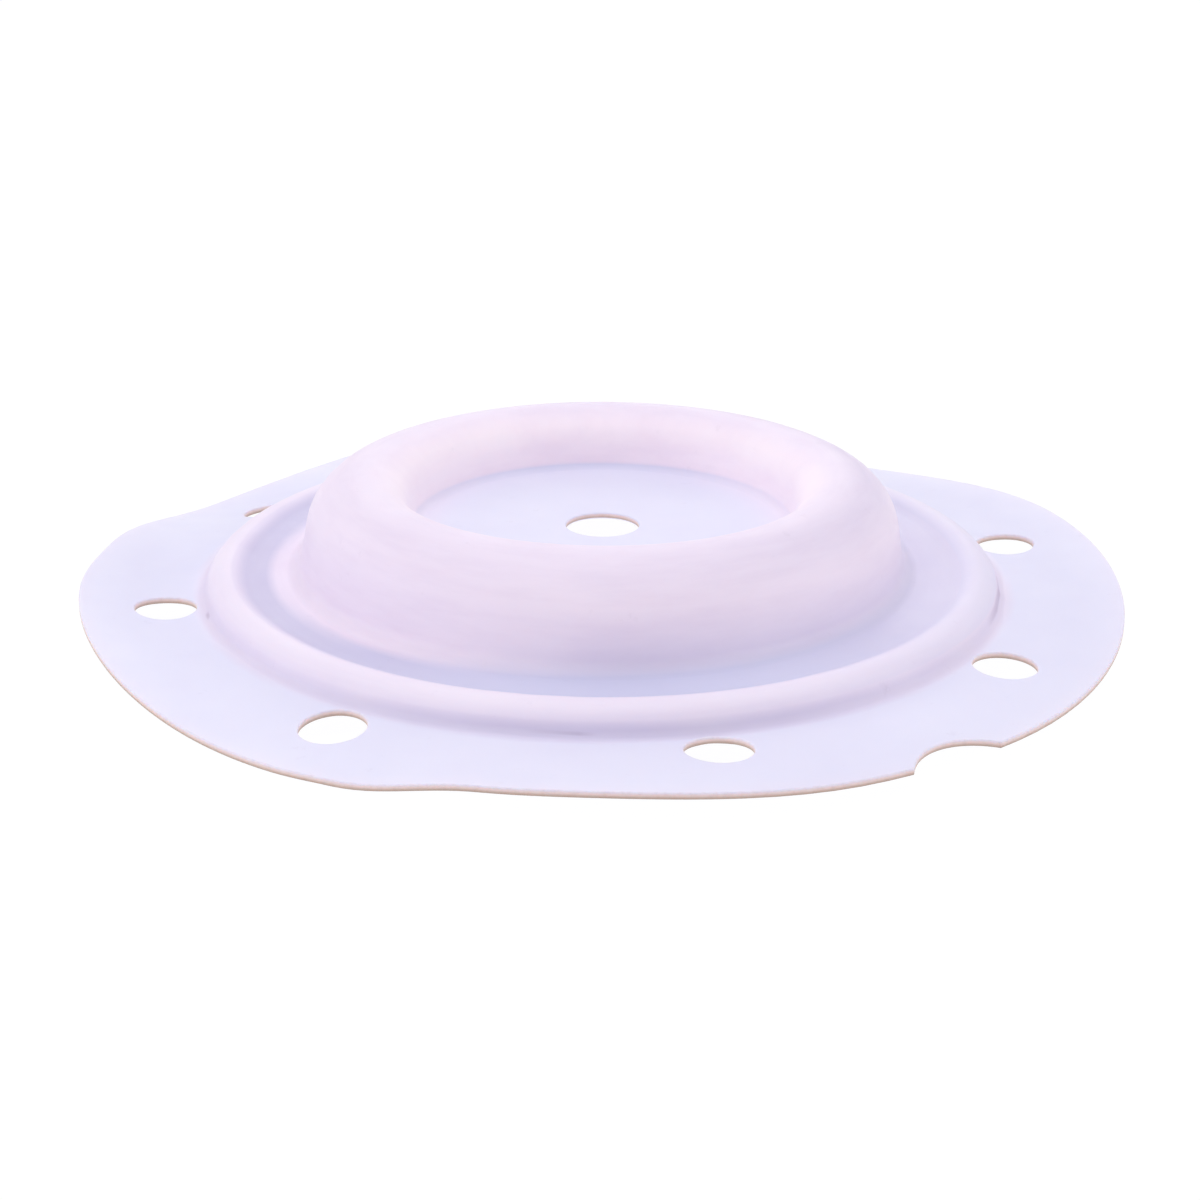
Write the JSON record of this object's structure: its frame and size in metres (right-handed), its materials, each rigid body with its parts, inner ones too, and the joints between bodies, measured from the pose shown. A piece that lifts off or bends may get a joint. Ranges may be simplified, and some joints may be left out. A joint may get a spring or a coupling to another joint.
{
  "type": "pump diaphragm",
  "caption": "Domed pump diaphragm moulded from white sheet: wavy bolted flange with an edge notch, raised bead, round fold and a recessed hub with a stud hole.",
  "frame": {"origin": "on the part's axis, at the height of the flange's lowest point, on the surface that it lies on", "axes": "+Z along the axis, from the flange towards the dome's crest; the edge notch lies at a bearing of 305.5 degrees from +X towards +Y"},
  "size_m": [0.19, 0.19, 0.0251],
  "materials": {
    "sheet": "satin, waxy white with a faint violet cast"
  },
  "bodies": {
    "root": {"diaphragm": "sheet"}
  },
  "joints": []
}
